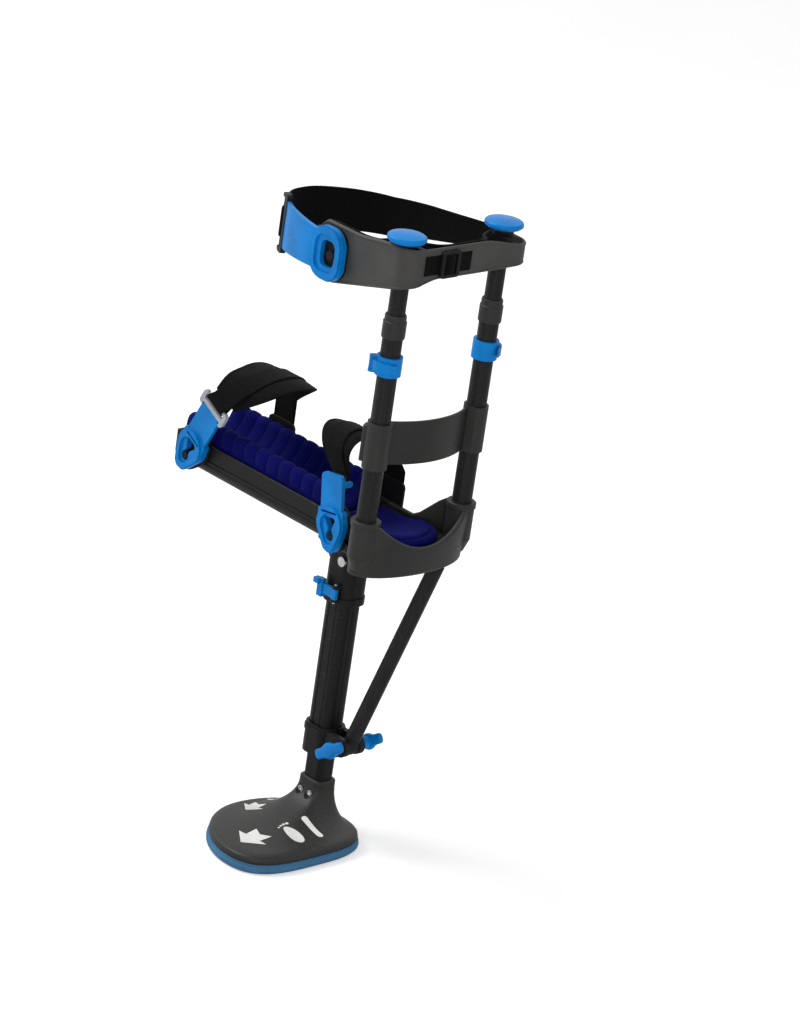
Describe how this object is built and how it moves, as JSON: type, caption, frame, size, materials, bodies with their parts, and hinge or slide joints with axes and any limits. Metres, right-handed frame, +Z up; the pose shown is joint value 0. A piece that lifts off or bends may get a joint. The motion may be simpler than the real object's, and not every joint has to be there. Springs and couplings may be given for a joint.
{
  "type": "hands free crutch",
  "caption": "Hands-free crutch: bent-leg platform with knee hoop and shin tray on a telescopic post with an offset foot, two uprights with a thigh cuff.",
  "frame": {"origin": "on the floor, under the axis of the post", "axes": "+X forward, +Y inboard towards the other leg, +Z up"},
  "size_m": [0.431, 0.2896, 0.8493],
  "materials": {
    "tread_rubber": "matt blue rubber with moulded cuts",
    "charcoal_plastic": "satin charcoal moulding",
    "black_plastic": "satin black moulding",
    "black_tube": "black anodised tube",
    "bright_steel": "bright pins and bolts",
    "azure_plastic": "azure blue moulding, soft gloss",
    "cuff_plastic": "dark grey flexible cuff",
    "band_plastic": "dark grey flexible band, bare",
    "pale_plastic": "light grey moulding",
    "navy_pad": "ribbed navy foam pad",
    "black_pad": "black foam lining with a cloth face",
    "webbing": "black woven webbing"
  },
  "bodies": {
    "lower_leg": {"foot_tread": "tread_rubber", "foot_shell": "charcoal_plastic", "foot_bolts": "bright_steel", "inner_post": "black_tube", "inner_post_plug": "black_plastic"},
    "knee_frame": {"outer_post": "black_tube", "post_collar": "charcoal_plastic", "strut_tube": "black_tube", "strut_lower_eye": "black_plastic", "strut_upper_eye": "black_plastic", "strut_lower_pin": "bright_steel", "strut_upper_pin": "bright_steel", "knee_hoop": "charcoal_plastic", "post_socket": "black_plastic", "socket_bolt": "bright_steel", "platform_bolts": "bright_steel", "socket_clip_pin": "bright_steel", "leg_tray": "charcoal_plastic", "tray_end_cap": "black_plastic", "shin_cushion": "navy_pad", "knee_cushion": "navy_pad", "upright_outboard": "black_tube", "upright_inboard": "black_tube", "ferrule_outboard": "charcoal_plastic", "ferrule_inboard": "charcoal_plastic", "clip_collar_outboard": "azure_plastic", "clip_collar_inboard": "azure_plastic", "clip_pins": "bright_steel", "band_bracket_outboard": "charcoal_plastic", "band_bracket_inboard": "charcoal_plastic", "front_band": "band_plastic", "rear_anchor": "black_plastic", "front_anchor": "black_plastic", "rear_strap_anchor": "black_plastic", "front_strap_anchor": "black_plastic", "strap_rivets": "bright_steel", "rear_calf_strap": "webbing", "front_calf_strap": "webbing"},
    "thigh_frame": {"thigh_tube_outboard": "black_tube", "thigh_tube_inboard": "black_tube", "cap_housing_outboard": "black_plastic", "cap_housing_inboard": "black_plastic", "cuff_shell": "cuff_plastic", "cuff_pad": "black_pad", "cuff_slider": "black_plastic", "thigh_anchor": "black_plastic", "thigh_strap": "webbing"},
    "t_knob_outboard": {"t_knob_outboard": "azure_plastic"},
    "t_knob_inboard": {"t_knob_inboard": "azure_plastic"},
    "socket_clip": {"socket_clip": "azure_plastic"},
    "clip_lever_outboard": {"clip_lever_outboard": "azure_plastic"},
    "clip_lever_inboard": {"clip_lever_inboard": "azure_plastic"},
    "rear_hook": {"rear_hook": "azure_plastic", "rear_loop": "pale_plastic"},
    "front_hook": {"front_hook": "azure_plastic"},
    "thigh_hook": {"thigh_hook": "azure_plastic", "thigh_loop": "black_plastic"},
    "cap_outboard": {"cap_outboard": "azure_plastic"},
    "cap_inboard": {"cap_inboard": "azure_plastic"}
  },
  "joints": [
    {"name": "leg_height", "type": "slide", "parent": "lower_leg", "child": "knee_frame", "axis": [0, 0, 1], "range_m": [-0.03, 0.1]},
    {"name": "thigh_height", "type": "slide", "parent": "knee_frame", "child": "thigh_frame", "axis": [0, 0, 1], "range_m": [-0.02, 0.1]},
    {"name": "t_knob_outboard_turn", "type": "hinge", "parent": "knee_frame", "child": "t_knob_outboard", "pos_m": [0.048, -0.034, 0.132], "axis": [0, 1, 0], "continuous": true},
    {"name": "t_knob_inboard_turn", "type": "hinge", "parent": "knee_frame", "child": "t_knob_inboard", "pos_m": [0.048, 0.034, 0.132], "axis": [0, 1, 0], "continuous": true},
    {"name": "socket_clip_open", "type": "hinge", "parent": "knee_frame", "child": "socket_clip", "pos_m": [0.01, -0.0265, 0.332], "axis": [0, 0, 1], "range_deg": [0, 90]},
    {"name": "clip_outboard_open", "type": "hinge", "parent": "knee_frame", "child": "clip_lever_outboard", "pos_m": [0.08636, -0.09464, 0.68], "axis": [0, 0, -1], "range_deg": [0, 100]},
    {"name": "clip_inboard_open", "type": "hinge", "parent": "knee_frame", "child": "clip_lever_inboard", "pos_m": [0.08636, 0.09464, 0.68], "axis": [0, 0, 1], "range_deg": [0, 100]},
    {"name": "rear_hook_release", "type": "hinge", "parent": "knee_frame", "child": "rear_hook", "pos_m": [-0.21687, -0.0601, 0.50884], "axis": [-0.891, 0, 0.454], "range_deg": [0, 60]},
    {"name": "front_hook_release", "type": "hinge", "parent": "knee_frame", "child": "front_hook", "pos_m": [0.01421, -0.048, 0.48945], "axis": [-0.9903, 0, -0.1392], "range_deg": [0, 45]},
    {"name": "thigh_hook_release", "type": "hinge", "parent": "thigh_frame", "child": "thigh_hook", "pos_m": [-0.118, -0.08, 0.79], "axis": [0, 0, -1], "range_deg": [0, 60]},
    {"name": "cap_outboard_turn", "type": "hinge", "parent": "thigh_frame", "child": "cap_outboard", "pos_m": [0.101, -0.08, 0.839], "axis": [0, 0, 1], "continuous": true},
    {"name": "cap_inboard_turn", "type": "hinge", "parent": "thigh_frame", "child": "cap_inboard", "pos_m": [0.101, 0.08, 0.839], "axis": [0, 0, 1], "continuous": true}
  ]
}
